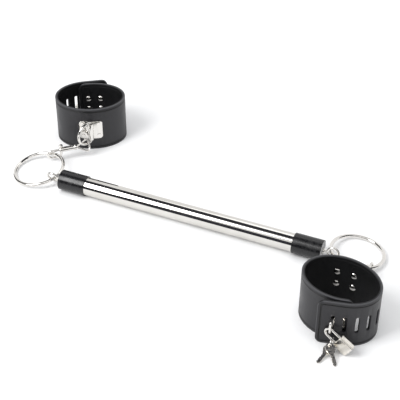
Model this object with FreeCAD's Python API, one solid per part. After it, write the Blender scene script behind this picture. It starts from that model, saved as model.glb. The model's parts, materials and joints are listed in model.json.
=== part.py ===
import FreeCAD, Part
import math
import os
from collections import namedtuple

# Two lockable wrist cuffs on a rigid spreader bar, in millimetres.
# Origin: on the surface the set lies on, under the middle of its bounding box. +X runs along the bar,
# towards the right-hand cuff, and +Z is up. The links are placed from the point under the middle of the
# bar, and the whole set is moved over the origin at the end.
# From the bar outwards each side is a chain of loose links:
# eye bolt - O-ring - snap hook - swivel bail - D-ring - cuff - shackle - padlock and key ring.
# Each link is modelled in its own frame and placed from the link before it.

V = FreeCAD.Vector
Placement = FreeCAD.Placement
Rotation = FreeCAD.Rotation
X_AXIS, Y_AXIS, Z_AXIS = V(1, 0, 0), V(0, 1, 0), V(0, 0, 1)

# ---- general clearances -------------------------------------------------------------------
RUNNING_GAP = 0.06       # radial, shaft in its bore
SEAT_GAP = 0.02          # between curved faces riveted together
LINK_GAP = 0.30          # between two loose links that hang in each other
FLOOR_GAP = 0.05         # under a loose piece that lies on the surface
MESH_STEP = 0.05         # deflection of the mesh that finds the bounding box

# ---- bar ----------------------------------------------------------------------------------
BAR_LENGTH = 300.0       # over the end plugs
TUBE_R = 10.0
TUBE_WALL = 1.2
SLEEVE_LENGTH = 31.0
SLEEVE_WALL = 1.0
SLEEVE_EDGE = 0.4
PLUG_FLANGE = 2.0
PLUG_WEB = 4.0
PLUG_SKIRT = 13.0
PLUG_SKIRT_WALL = 1.6
EYE_WIRE_R = 1.4
EYE_HOLE_R = 4.5
EYE_COLLAR_R = 3.8
EYE_COLLAR = 1.5
EYE_NECK_R = 1.8
EYE_NECK = 3.8           # from the collar to the centre line of the loop
EYE_SHANK_R = 2.5
EYE_SHANK_END = 1.5      # shank beyond the nut
EYE_ROLL = -15.0         # the loops lean back, about the bar
NUT_FLATS = 8.0
NUT_THICKNESS = 4.0

# ---- O-ring -------------------------------------------------------------------------------
RING_R = 27.6            # centre line of the wire
RING_WIRE_R = 2.0

# ---- snap hook, along its own axis from the point where the ring crosses it ------------------
HOOK_WIRE_R = 1.35
HOOK_NOSE = 6.3          # crossing to the centre line of the nose
HOOK_HEIGHT = 6.4        # clear height of the eye
HOOK_TIP = 1.0           # straight end of the hook beyond its nose bend
HOOK_HEEL = 8.0          # crossing to the arm's heel
HOOK_HEEL_R = 2.2
RING_BELOW_BOLT = 4.1    # the ring's wire below the bolt's axis
BARREL_START = 7.0
BARREL_LENGTH = 19.7
BARREL_R = 2.8
BARREL_NOSE = 1.2        # taper at the front
BARREL_FLANGE = 1.5
BARREL_FLANGE_R = 3.4
BOLT_R = 1.3
BOLT_GAP = 0.2           # between the closed bolt and the hook's tip
BOLT_TRAVEL = 6.0
BOLT_TAIL = 4.5          # bolt behind its knob stem
STEM_R = 0.8
STEM_SETBACK = 2.0       # barrel front to stem
KNOB_R = 2.3
KNOB_HEIGHT = 2.0
KNOB_BASE = 4.4          # bolt axis to the underside of the knob
KNOB_EDGE = 0.6
SLOT_SIDE_GAP = 0.12
SPRING_WIRE = 0.35
SPRING_TURNS = 6
SPRING_BORE_GAP = 0.12
SPRING_WALL = 1.0        # barrel material between spring and swivel

# ---- swivel bail, in the barrel's rear end ---------------------------------------------------
SWIVEL_HEAD_R = 1.9
SWIVEL_HEAD = 1.3
SWIVEL_STEM_R = 1.15
SWIVEL_LIP = 1.6         # barrel material that traps the head
SWIVEL_PLAY = 0.15
BAIL_COLLAR_R = 2.4
BAIL_COLLAR = 1.1
BAIL_WIRE_R = 1.2
BAIL_LENGTH = 13.4       # collar to the centre line of the far bar
BAIL_WIDTH = 15.0        # over the loop
BAIL_APEX_R = 1.8
BAIL_CORNER_R = 3.0

# ---- D-ring -------------------------------------------------------------------------------
D_WIRE_R = 1.5
D_HALF = 13.2            # bar middle to the centre line of the bow
D_STRAIGHT = 5.6         # bar to the start of the round bow
D_CORNER_R = 2.2

# ---- cuff ---------------------------------------------------------------------------------
CUFF_HEIGHT = 54.0
CUT_REACH = 2.3          # of holes through the strap, to each side of its middle line
LEATHER = 1.8
LINING = 1.2
FLAP_LENGTH = 26.1       # loose, straight outer end of the strap
STRAP_TURN = 374.0       # degrees that the strap runs on after the flap
TUCK_START = 235.0       # degrees after which the inner end starts to run inside the flap
TUCK = 5.1               # how far inside it ends
STRAP_CORNER_R = 7.0
SAMPLE = 3.5             # spacing of the points that carry the strap's curve
SLOTS = 5
SLOT_FIRST = 15.2        # strap end to the middle of the first slot
SLOT_PITCH = 11.4
SLOT_LENGTH = 20.0
SLOT_WIDTH = 3.6
D_PLATE_TURN = 98.5      # strap length from the flap's root to the D-ring plate
D_PLATE_WIDTH = 25.5
D_PLATE_HEIGHT = 23.5
D_PLATE_T = 1.0
D_PLATE_CORNER_R = 2.5
KNUCKLE_R = 3.1
KNUCKLE_HEIGHT = 21.6
D_RIVET_X, D_RIVET_Z = 17.2, 15.4
STAPLE_PLATE_WIDTH = 20.5
STAPLE_PLATE_HEIGHT = 20.5
STAPLE_PLATE_T = 1.0
STAPLE_RIVET_X, STAPLE_RIVET_Z = 14.0, 14.0
STAPLE_WIRE_R = 1.2
STAPLE_HEIGHT = 15.0     # over the two legs
STAPLE_REACH = 7.9       # beyond the flap's outer face
STAPLE_BEND_R = 2.4
RIVET_R = 1.5
RIVET_DOME_R = 3.6
RIVET_DOME = 1.6
RIVET_HEAD_R = 2.3
RIVET_HEAD = 0.5

# ---- padlock ------------------------------------------------------------------------------
LOCK_WIDTH = 14.2
LOCK_HEIGHT = 15.6
LOCK_T = 6.2
LOCK_EDGE = 0.7
LOCK_GROOVE = 0.5        # seam along the two sides
SHACKLE_R = 1.4
SHACKLE_HALF = 4.9       # padlock middle to a leg
SHACKLE_RISE = 9.4       # top of the body to the middle of the crown's arc
SHACKLE_LONG = 11.0      # long leg inside the body
SHACKLE_SHORT = 3.5
SHACKLE_TRAVEL = 6.0
SHACKLE_NOTCH = 0.6
CYLINDER_R = 2.6
CYLINDER_DEPTH = 9.0
CYLINDER_PROUD = 0.4
KEYWAY_WIDTH = 1.3
KEYWAY_LENGTH = 3.6
KEYWAY_DEPTH = 7.0
LOCK_YAW = -12.0         # the padlock turned away from the flap, seen from above
LOCK_STANDOFF = 3.75     # the flap's outer face to the shackle's middle

# ---- key ring and keys -----------------------------------------------------------------------
KEY_RING_R = 5.2
KEY_RING_WIRE_R = 0.55
KEY_RING_ON_LEG = 3.2    # above the padlock body, along the leg
KEY_RING_HANG = 2.75     # the leg's middle up to the ring's wire
KEY_RING_HEADING = 8.0   # its axis, from the padlock's width direction
KEY_RING_TILT = -20.0    # the ring leans away from the flap
KEY_T = 1.1
KEY_BOW_R = 5.0
KEY_BOW_WAIST = 3.4      # narrower half of the bow, towards the blade
KEY_HOLE_R = 1.9
KEY_HOLE_BACK = 2.4      # bow middle to the hole
KEY_BLADE = 15.0
KEY_BLADE_HALF = 1.9
KEY_CUTS = 4
KEY_CUT_DEPTH = 0.9
KEY_TILTS = (25.0, 75.0)       # where the two keys hang on the ring, from its lowest point
KEY_HEADINGS = (-98.0, -44.0)  # from the padlock's width direction

# How each side lies. Headings are in degrees, seen from above, counter-clockwise from +X.
# ring_high: heading of the ring's highest point; eye_angle and hook_angle: from that point round the
# ring to the eye and to the snap hook. ring_shift and ring_drop: the ring's wire from the eye's centre.
# bail_bite and bail_lift: the D-ring's wire from the bail's far bar and from its middle line.
# bow_link: start of the D-ring's round bow to the point where the bail hangs on it.
# leave: where on the oval the strap's flap leaves it.
Lay = namedtuple("Lay", "side out ring_high eye_angle ring_shift ring_drop hook_angle snap_heading "
                        "bail_roll bail_bite bail_lift bow_link d_heading cuff_heading "
                        "oval_long oval_short leave")
LAYS = (
    Lay(side="left", out=-1, ring_high=28.8, eye_angle=-53.2, ring_shift=1.0, ring_drop=1.5,
        hook_angle=52.8, snap_heading=38.8, bail_roll=-40.5, bail_bite=5.3, bail_lift=1.35,
        bow_link=5.65, d_heading=250.9, cuff_heading=203.6,
        oval_long=38.5, oval_short=28.3, leave=-78.0),
    Lay(side="right", out=1, ring_high=238.5, eye_angle=-18.9, ring_shift=0.0, ring_drop=1.1,
        hook_angle=74.65, snap_heading=264.5, bail_roll=10.7, bail_bite=3.35, bail_lift=2.0,
        bow_link=4.5, d_heading=13.4, cuff_heading=-12.0,
        oval_long=38.9, oval_short=30.0, leave=-60.0),
)

# Sizes that follow from those above.
BAR_AXIS_Z = TUBE_R + SLEEVE_WALL
TUBE_BORE_R = TUBE_R - TUBE_WALL
EYE_REACH = EYE_COLLAR + EYE_NECK + EYE_HOLE_R + EYE_WIRE_R
EYE_LOOP_R = EYE_HOLE_R + EYE_WIRE_R
HOOK_ARM_Z = -(BOLT_R + HOOK_HEIGHT + HOOK_WIRE_R)
NOSE_R = -HOOK_ARM_Z / 2
BARREL_END = BARREL_START + BARREL_LENGTH
STEM_X = BARREL_START + STEM_SETBACK
BOLT_FRONT = NOSE_R - HOOK_NOSE + HOOK_TIP + BOLT_GAP
BOLT_END = STEM_X + BOLT_TAIL
BOLT_BORE_R = BOLT_R + RUNNING_GAP
HEAD_START = BARREL_END - SWIVEL_LIP - SWIVEL_PLAY - SWIVEL_HEAD
HEAD_ROOM = HEAD_START - SWIVEL_PLAY
SPRING_END = HEAD_ROOM - SPRING_WALL
COLLAR_START = BARREL_END + SWIVEL_PLAY
BAIL_START = COLLAR_START + BAIL_COLLAR
BAIL_FAR = BAIL_START + BAIL_LENGTH
STRAP_T = LEATHER + LINING
OUTER_FACE = STRAP_T / 2             # offsets from the strap's middle line, outwards
PLATE_SEAT = OUTER_FACE + SEAT_GAP
PLY_FACE = OUTER_FACE - LEATHER
INNER_FACE = -STRAP_T / 2
KNUCKLE_OFFSET = OUTER_FACE + KNUCKLE_R + 0.1 * D_PLATE_T
STAPLE_LEG = STAPLE_HEIGHT / 2 - STAPLE_WIRE_R
KEY_WAIST_X = KEY_HOLE_BACK + KEY_BOW_R - KEY_BOW_WAIST / 2
KEY_TIP = KEY_WAIST_X + KEY_BLADE


# ---- shape helpers ------------------------------------------------------------------------
def cylinder_x(radius, x0, x1):
    """A solid cylinder about the X axis, from x0 to x1."""
    return Part.makeCylinder(radius, x1 - x0, V(x0, 0, 0), X_AXIS)


def turned(profile):
    """A solid of revolution about the X axis; the profile is a list of (x, radius)."""
    points = [V(x, 0, r) for x, r in profile]
    face = Part.Face(Part.makePolygon(points + points[:1]))
    return face.revolve(V(0, 0, 0), X_AXIS, 360)


def rounded_path(corners, closed=False):
    """A wire in the XZ plane through (x, z, radius) corners, with each corner rounded by its radius."""
    points = [V(x, 0, z) for x, z, _ in corners]
    count = len(points)
    starts, ends, arcs = [], [], []
    for i, (point, (_, _, radius)) in enumerate(zip(points, corners)):
        if not closed and i in (0, count - 1):
            starts.append(point)
            ends.append(point)
            arcs.append(None)
            continue
        before = (points[i - 1] - point).normalize()
        after = (points[(i + 1) % count] - point).normalize()
        half = before.getAngle(after) / 2
        reach = radius / math.tan(half)
        middle = point + (before + after).normalize() * (radius / math.sin(half) - radius)
        starts.append(point + before * reach)
        ends.append(point + after * reach)
        arcs.append(Part.Arc(starts[i], middle, ends[i]).toShape())
    edges = []
    for i in range(count):
        if arcs[i]:
            edges.append(arcs[i])
        if i < count - 1 or closed:
            edges.append(Part.makeLine(ends[i], starts[(i + 1) % count]))
    return Part.Wire(edges)


def bent_wire(path, radius):
    """A round wire of the given radius bent along a planar path."""
    start = path.OrderedEdges[0]
    point = start.valueAt(start.FirstParameter)
    direction = start.tangentAt(start.FirstParameter)
    section = Part.Wire([Part.makeCircle(radius, point, direction)])
    pipe = Part.BRepOffsetAPI.MakePipeShell(path)
    pipe.setFrenetMode(True)
    pipe.add(section)
    pipe.build()
    pipe.makeSolid()
    return pipe.shape()


def placed(shape, placement):
    """A copy of the shape moved by the placement."""
    copy = shape.copy()
    copy.Placement = placement.multiply(copy.Placement)
    return copy


def turn(axis, degrees, origin=V(0, 0, 0)):
    """A placement that turns about an axis through the origin of a frame set at a point."""
    return Placement(origin, Rotation(axis, degrees))


def angle_for(a, b, c):
    """The angle in degrees for which a*cos + b*sin equals c, with the sine rising towards it."""
    return math.degrees(math.atan2(b, a) + math.acos(c / math.hypot(a, b)))


# ---- bar ----------------------------------------------------------------------------------
def bar_tube():
    half = BAR_LENGTH / 2 - PLUG_FLANGE
    tube = cylinder_x(TUBE_R, -half, half).cut(cylinder_x(TUBE_BORE_R, -half, half))
    return placed(tube, Placement(V(0, 0, BAR_AXIS_Z), Rotation()))


def end_plug():
    """Turned plug: a flange over the tube's end, a web for the eye bolt and a skirt in the bore."""
    skirt_r = TUBE_BORE_R - PLUG_SKIRT_WALL
    return turned([(0, EYE_SHANK_R), (0, TUBE_R), (-PLUG_FLANGE, TUBE_R), (-PLUG_FLANGE, TUBE_BORE_R),
                   (-PLUG_SKIRT, TUBE_BORE_R), (-PLUG_SKIRT, skirt_r), (-PLUG_WEB, skirt_r),
                   (-PLUG_WEB, EYE_SHANK_R)])


def end_sleeve():
    outer = cylinder_x(TUBE_R + SLEEVE_WALL, -SLEEVE_LENGTH, 0)
    rims = [e for e in outer.Edges if isinstance(e.Curve, Part.Circle)]
    return outer.makeFillet(SLEEVE_EDGE, rims).cut(cylinder_x(TUBE_R, -SLEEVE_LENGTH, 0))


def eye_bolt():
    """Forged loop on a collar, with a threaded shank through the plug's web and the nut."""
    shank = cylinder_x(EYE_SHANK_R, -(PLUG_WEB + NUT_THICKNESS + EYE_SHANK_END), 0)
    collar = cylinder_x(EYE_COLLAR_R, 0, EYE_COLLAR)
    neck = cylinder_x(EYE_NECK_R, EYE_COLLAR, EYE_COLLAR + EYE_NECK)
    loop = Part.makeTorus(EYE_LOOP_R, EYE_WIRE_R, V(EYE_REACH, 0, 0), Y_AXIS)
    bolt = shank.multiFuse([collar, neck, loop]).removeSplitter()
    return placed(bolt, turn(X_AXIS, EYE_ROLL))


def lock_nut():
    corner = NUT_FLATS / math.sqrt(3)
    points = [V(0, corner * math.cos(math.radians(60 * i)), corner * math.sin(math.radians(60 * i)))
              for i in range(7)]
    nut = Part.Face(Part.makePolygon(points)).extrude(V(NUT_THICKNESS, 0, 0))
    nut = nut.cut(cylinder_x(EYE_SHANK_R, 0, NUT_THICKNESS))
    return placed(nut, Placement(V(-PLUG_WEB - NUT_THICKNESS, 0, 0), Rotation()))


# ---- links --------------------------------------------------------------------------------
def o_ring():
    return Part.makeTorus(RING_R, RING_WIRE_R)


def hook_body():
    """Barrel with its bores and knob slot, and the hook arm bent round in front of it."""
    barrel = turned([(BARREL_START, 0), (BARREL_START, BARREL_R - BARREL_NOSE / 2),
                     (BARREL_START + BARREL_NOSE, BARREL_R),
                     (BARREL_END - 2 * BARREL_FLANGE, BARREL_R),
                     (BARREL_END - BARREL_FLANGE, BARREL_FLANGE_R),
                     (BARREL_END, BARREL_FLANGE_R), (BARREL_END, 0)])
    nose_x = NOSE_R - HOOK_NOSE
    nose = Part.Arc(V(nose_x, 0, 0), V(-HOOK_NOSE, 0, -NOSE_R), V(nose_x, 0, HOOK_ARM_Z)).toShape()
    tip = Part.makeLine(V(nose_x + HOOK_TIP, 0, 0), V(nose_x, 0, 0))
    arm = rounded_path([(nose_x, HOOK_ARM_Z, 0), (HOOK_HEEL, HOOK_ARM_Z, HOOK_HEEL_R),
                        (HOOK_HEEL + HOOK_WIRE_R, -BOLT_R, 0)])
    hook = bent_wire(Part.Wire([tip, nose] + arm.Edges), HOOK_WIRE_R)
    bore = cylinder_x(BOLT_BORE_R, BARREL_START - HOOK_WIRE_R, SPRING_END)
    head_room = cylinder_x(SWIVEL_HEAD_R + SWIVEL_PLAY, HEAD_ROOM, BARREL_END - SWIVEL_LIP)
    lip = cylinder_x(SWIVEL_STEM_R + RUNNING_GAP, BARREL_END - SWIVEL_LIP, BARREL_END)
    slot_half = STEM_R + SLOT_SIDE_GAP
    slot = Part.makeBox(BOLT_TRAVEL, 2 * slot_half, BARREL_R + 1, V(STEM_X, -slot_half, 0))
    ends = [Part.makeCylinder(slot_half, BARREL_R + 1, V(x, 0, 0)) for x in (STEM_X, STEM_X + BOLT_TRAVEL)]
    return barrel.fuse(hook).cut([bore, head_room, lip, slot] + ends)


def hook_bolt():
    """Round bolt that closes the hook, with the thumb knob on its stem."""
    rod = cylinder_x(BOLT_R, BOLT_FRONT, BOLT_END)
    stem = Part.makeCylinder(STEM_R, KNOB_BASE + KNOB_HEIGHT / 2, V(STEM_X, 0, 0))
    knob = Part.makeCylinder(KNOB_R, KNOB_HEIGHT, V(STEM_X, 0, KNOB_BASE))
    knob = knob.makeFillet(KNOB_EDGE, [e for e in knob.Edges if isinstance(e.Curve, Part.Circle)])
    return rod.multiFuse([stem, knob]).removeSplitter()


def bolt_spring():
    """Compression spring between the bolt's tail and the end of its bore."""
    radius = BOLT_BORE_R - SPRING_BORE_GAP - SPRING_WIRE / 2
    height = SPRING_END - BOLT_END - 2 * SPRING_WIRE
    helix = Part.makeHelix(height / SPRING_TURNS, height, radius)
    half = SPRING_WIRE / 2
    square = Part.makePolygon([V(radius - half, 0, -half), V(radius + half, 0, -half),
                               V(radius + half, 0, half), V(radius - half, 0, half),
                               V(radius - half, 0, -half)])
    pipe = Part.BRepOffsetAPI.MakePipeShell(Part.Wire(helix.Edges))
    pipe.setFrenetMode(True)
    pipe.add(square)
    pipe.build()
    pipe.makeSolid()
    return placed(pipe.shape(), Placement(V(BOLT_END + SPRING_WIRE, 0, 0), Rotation(Y_AXIS, 90)))


def swivel_bail():
    """Loop with rounded corners on a collar; its headed stem turns in the barrel's rear end."""
    head = cylinder_x(SWIVEL_HEAD_R, HEAD_START, HEAD_START + SWIVEL_HEAD)
    stem = cylinder_x(SWIVEL_STEM_R, HEAD_START, COLLAR_START)
    collar = cylinder_x(BAIL_COLLAR_R, COLLAR_START, BAIL_START)
    slope = math.atan2(BAIL_WIDTH / 2, BAIL_LENGTH)
    corner_angle = math.pi / 2 - slope
    rise = BAIL_WIDTH / 2 - BAIL_WIRE_R - BAIL_CORNER_R + BAIL_CORNER_R / math.tan(corner_angle / 2)
    apex = BAIL_FAR - rise / math.tan(slope)
    loop = bent_wire(rounded_path([(apex, 0, BAIL_APEX_R), (BAIL_FAR, rise, BAIL_CORNER_R),
                                   (BAIL_FAR, -rise, BAIL_CORNER_R)], closed=True), BAIL_WIRE_R)
    neck = cylinder_x(SWIVEL_STEM_R, BAIL_START, apex + BAIL_APEX_R)
    return head.multiFuse([stem, collar, neck, loop]).removeSplitter()


def d_ring():
    """Straight bar along Z, with a round bow towards +X."""
    bar = [(0, -D_HALF, D_CORNER_R), (0, D_HALF, D_CORNER_R)]
    corners = rounded_path([(D_STRAIGHT, -D_HALF, 0)] + bar + [(D_STRAIGHT, D_HALF, 0)])
    bow = Part.Arc(V(D_STRAIGHT, 0, D_HALF), V(D_STRAIGHT + D_HALF, 0, 0), V(D_STRAIGHT, 0, -D_HALF))
    return bent_wire(Part.Wire(corners.Edges + [bow.toShape()]), D_WIRE_R)


# ---- cuff ---------------------------------------------------------------------------------
class StrapPath:
    """Middle line of a wrapped strap in plan: a straight flap, then an oval turn that tucks in."""

    def __init__(self, lay):
        root = math.radians(lay.leave)
        start = V(lay.oval_long * math.cos(root), lay.oval_short * math.sin(root), 0)
        along = V(-lay.oval_long * math.sin(root), lay.oval_short * math.cos(root), 0).normalize()
        self.points = [start - along * FLAP_LENGTH]
        for degrees in range(0, int(STRAP_TURN) + 1):
            angle = math.radians(lay.leave + degrees)
            part = min(max((degrees - TUCK_START) / (STRAP_TURN - TUCK_START), 0), 1)
            inset = TUCK * part * part * (3 - 2 * part)
            self.points.append(V((lay.oval_long - inset) * math.cos(angle),
                                 (lay.oval_short - inset) * math.sin(angle), 0))
        self.marks = [0.0]
        for before, after in zip(self.points, self.points[1:]):
            self.marks.append(self.marks[-1] + before.distanceToPoint(after))
        self.length = self.marks[-1]

    def point(self, mark):
        """The point at a distance along the strap from the flap's end."""
        i = 0
        while i < len(self.marks) - 2 and self.marks[i + 1] < mark:
            i += 1
        share = (mark - self.marks[i]) / (self.marks[i + 1] - self.marks[i])
        return self.points[i] + (self.points[i + 1] - self.points[i]) * share

    def frame(self, mark, height=CUFF_HEIGHT / 2):
        """X along the strap, Y inwards and Z up, at a distance along the strap."""
        step = 0.5
        ahead = self.point(min(mark + step, self.length)) - self.point(max(mark - step, 0))
        origin = self.point(mark) + V(0, 0, height)
        return Placement(origin, Rotation(Z_AXIS, math.degrees(math.atan2(ahead.y, ahead.x))))

    def offset(self, mark, distance):
        """The point at a distance outside the middle line."""
        return self.frame(mark, 0).multVec(V(0, -distance, 0))

    def facing(self, target, first, last):
        """The distance along the strap whose inward line passes through a point."""
        best = first
        for i in range(int((last - first) * 4)):
            mark = first + i / 4
            if abs(self.miss(mark, target)) < abs(self.miss(best, target)):
                best = mark
        return best

    def miss(self, mark, target):
        return self.frame(mark, 0).inverse().multVec(target).x


def band(path, first, last, inner, outer, z0, z1):
    """A strip along the strap between two offsets from its middle line and between two heights."""
    count = max(4, math.ceil((last - first) / SAMPLE))
    marks = [first + (last - first) * i / count for i in range(count + 1)]
    edges = []
    for distance in (outer, inner):
        curve = Part.BSplineCurve()
        curve.interpolate([path.offset(mark, distance) for mark in marks])
        edges.append(curve.toShape())
    ends = [Part.makeLine(path.offset(mark, inner), path.offset(mark, outer)) for mark in (first, last)]
    face = Part.Face(Part.Wire(Part.__sortEdges__(edges + ends)))
    strip = face.extrude(V(0, 0, z1 - z0))
    return placed(strip, Placement(V(0, 0, z0), Rotation()))


def rounded_ends(strip, path, marks, radius, z0, z1):
    """The strip with its corners rounded, seen square on, at the given ends."""
    for mark, towards in marks:
        frame = path.frame(mark, 0)
        for z, up in ((z0, 1), (z1, -1)):
            block = Part.makeBox(2 * radius, 2 * CUT_REACH, 2 * radius,
                                 V(-radius, -CUT_REACH, z - radius))
            disc = Part.makeCylinder(radius, 2 * CUT_REACH,
                                     V(towards * radius, -CUT_REACH, z + up * radius), Y_AXIS)
            strip = strip.cut(placed(block.cut(disc), frame))
    return strip


def strap_slot():
    """Cutter for one lock slot, through the strap along Y."""
    half = SLOT_LENGTH / 2 - SLOT_WIDTH / 2
    middle = Part.makeBox(SLOT_WIDTH, 2 * CUT_REACH, 2 * half, V(-SLOT_WIDTH / 2, -CUT_REACH, -half))
    ends = [Part.makeCylinder(SLOT_WIDTH / 2, 2 * CUT_REACH, V(0, -CUT_REACH, z), Y_AXIS)
            for z in (-half, half)]
    return middle.multiFuse(ends)


def rivet_spots(width, height):
    return [(x, z) for x in (-width / 2, width / 2) for z in (-height / 2, height / 2)]


def rivet(plate_t):
    """Rivet along Y: domed head inside the cuff, flat head on the plate outside."""
    inside, outside = SEAT_GAP - INNER_FACE, -(OUTER_FACE + plate_t)
    ball_r = (RIVET_DOME_R ** 2 + RIVET_DOME ** 2) / (2 * RIVET_DOME)
    ball = Part.makeSphere(ball_r, V(0, inside + RIVET_DOME - ball_r, 0))
    dome = ball.common(Part.makeCylinder(RIVET_DOME_R, RIVET_DOME, V(0, inside, 0), Y_AXIS))
    shank = Part.makeCylinder(RIVET_R, inside - outside, V(0, outside, 0), Y_AXIS)
    head = Part.makeCylinder(RIVET_HEAD_R, RIVET_HEAD, V(0, outside - RIVET_HEAD, 0), Y_AXIS)
    return shank.multiFuse([dome, head]).removeSplitter()


class Cuff:
    """One wrapped cuff in its own frame: oval centre on the Z axis, bottom edge at z = 0."""

    def __init__(self, lay):
        self.path = StrapPath(lay)
        self.d_mark = FLAP_LENGTH + D_PLATE_TURN
        self.slot_marks = [SLOT_FIRST + i * SLOT_PITCH for i in range(SLOTS)]
        slot = self.path.point(self.slot_marks[0])
        self.staple_mark = self.path.facing(slot, self.path.length - 60, self.path.length)
        self.staple_frame = self.path.frame(self.staple_mark)
        self.flap_distance = -self.staple_frame.inverse().multVec(slot + V(0, 0, CUFF_HEIGHT / 2)).y
        self.staple_tip = self.flap_distance + OUTER_FACE + STAPLE_REACH

    def d_bar(self):
        """The D-ring's pivot: X outwards from the cuff, Z up."""
        frame = self.path.frame(self.d_mark)
        return frame.multiply(Placement(V(0, -KNUCKLE_OFFSET, 0), Rotation(Z_AXIS, -90)))

    def ply(self, inner, outer):
        """One ply of the strap, with its rounded ends, lock slots and rivet holes."""
        ply = band(self.path, 0, self.path.length, inner, outer, 0, CUFF_HEIGHT)
        ply = rounded_ends(ply, self.path, ((0, 1), (self.path.length, -1)), STRAP_CORNER_R, 0, CUFF_HEIGHT)
        cutters = [placed(strap_slot(), self.path.frame(mark)) for mark in self.slot_marks]
        hole = Part.makeCylinder(RIVET_R, 2 * CUT_REACH, V(0, -CUT_REACH, 0), Y_AXIS)
        hole = hole.fuse(Part.makeCylinder(RIVET_DOME_R + SEAT_GAP, RIVET_DOME, V(0, -INNER_FACE, 0), Y_AXIS))
        cutters += self.at_rivets(hole, self.d_mark, D_RIVET_X, D_RIVET_Z)
        cutters += self.at_rivets(hole, self.staple_mark, STAPLE_RIVET_X, STAPLE_RIVET_Z)
        return ply.cut(cutters)

    def at_rivets(self, shape, mark, width, height):
        return [placed(shape, self.path.frame(mark + x, CUFF_HEIGHT / 2 + z))
                for x, z in rivet_spots(width, height)]

    def plate(self, mark, width, height, thickness, rivet_x, rivet_z):
        z0, z1 = (CUFF_HEIGHT - height) / 2, (CUFF_HEIGHT + height) / 2
        first, last = mark - width / 2, mark + width / 2
        plate = band(self.path, first, last, PLATE_SEAT, OUTER_FACE + thickness, z0, z1)
        plate = rounded_ends(plate, self.path, ((first, 1), (last, -1)), D_PLATE_CORNER_R, z0, z1)
        hole = Part.makeCylinder(RIVET_R, 2 * STRAP_T, V(0, -2 * STRAP_T, 0), Y_AXIS)
        return plate.cut(self.at_rivets(hole, mark, rivet_x, rivet_z))

    def d_plate(self):
        """Curved plate with the upright knuckle that the D-ring's bar turns in."""
        plate = self.plate(self.d_mark, D_PLATE_WIDTH, D_PLATE_HEIGHT, D_PLATE_T, D_RIVET_X, D_RIVET_Z)
        low = V(0, 0, -KNUCKLE_HEIGHT / 2)
        knuckle = placed(Part.makeCylinder(KNUCKLE_R, KNUCKLE_HEIGHT, low), self.d_bar())
        bore = placed(Part.makeCylinder(D_WIRE_R + RUNNING_GAP, D_PLATE_HEIGHT + 2,
                                        low - V(0, 0, 2)), self.d_bar())
        return plate.fuse(knuckle).cut(bore)

    def staple(self):
        """Lock staple: a bent wire that passes through the flap's slot, on its own plate."""
        plate = self.plate(self.staple_mark, STAPLE_PLATE_WIDTH, STAPLE_PLATE_HEIGHT, STAPLE_PLATE_T,
                           STAPLE_RIVET_X, STAPLE_RIVET_Z)
        root, tip = OUTER_FACE + STAPLE_PLATE_T / 2, self.staple_tip - STAPLE_WIRE_R
        loop = bent_wire(rounded_path([(root, STAPLE_LEG, 0), (tip, STAPLE_LEG, STAPLE_BEND_R),
                                       (tip, -STAPLE_LEG, STAPLE_BEND_R), (root, -STAPLE_LEG, 0)]),
                         STAPLE_WIRE_R)
        outwards = self.staple_frame.multiply(turn(Z_AXIS, -90))
        return plate.fuse(placed(loop, outwards))

    def lock_frame(self):
        """The padlock's frame: Z towards its crown, Y to its back, origin on top of its body.

        Its shackle hangs on the staple's lower leg and one bottom corner stands on the surface.
        """
        reach = self.flap_distance + OUTER_FACE + LOCK_STANDOFF
        leg = self.staple_frame.multVec(V(0, -reach, -STAPLE_LEG))
        yaw = self.staple_frame.Rotation.multiply(Rotation(Z_AXIS, LOCK_YAW))
        crown = leg + V(0, 0, STAPLE_WIRE_R + SHACKLE_R + LINK_GAP - SHACKLE_HALF)
        drop = crown.z - FLOOR_GAP
        lean = math.degrees(math.atan2(LOCK_WIDTH / 2, SHACKLE_RISE + LOCK_HEIGHT)
                            + math.acos(drop / math.hypot(SHACKLE_RISE + LOCK_HEIGHT, LOCK_WIDTH / 2)))
        rotation = yaw.multiply(Rotation(Y_AXIS, -lean))
        return Placement(crown - rotation.multVec(V(0, 0, SHACKLE_RISE)), rotation), crown


# ---- padlock ------------------------------------------------------------------------------
def lock_body():
    """Solid lock case with bores for the shackle and the cylinder, and a seam along each side."""
    body = Part.makeBox(LOCK_WIDTH, LOCK_T, LOCK_HEIGHT, V(-LOCK_WIDTH / 2, -LOCK_T / 2, -LOCK_HEIGHT))
    body = body.makeFillet(LOCK_EDGE, body.Edges)
    bore_r = SHACKLE_R + RUNNING_GAP
    cutters = [Part.makeCylinder(bore_r, SHACKLE_LONG + LINK_GAP, V(-SHACKLE_HALF, 0, 0), -Z_AXIS),
               Part.makeCylinder(bore_r, SHACKLE_SHORT + LINK_GAP, V(SHACKLE_HALF, 0, 0), -Z_AXIS),
               Part.makeCylinder(CYLINDER_R + RUNNING_GAP, CYLINDER_DEPTH, V(0, 0, -LOCK_HEIGHT))]
    for x in (-LOCK_WIDTH / 2 - LOCK_GROOVE, LOCK_WIDTH / 2 - LOCK_GROOVE):
        cutters.append(Part.makeBox(2 * LOCK_GROOVE, LOCK_GROOVE, LOCK_HEIGHT,
                                    V(x, -LOCK_T / 4 - LOCK_GROOVE / 2, -LOCK_HEIGHT)))
    return body.cut(cutters)


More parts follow.
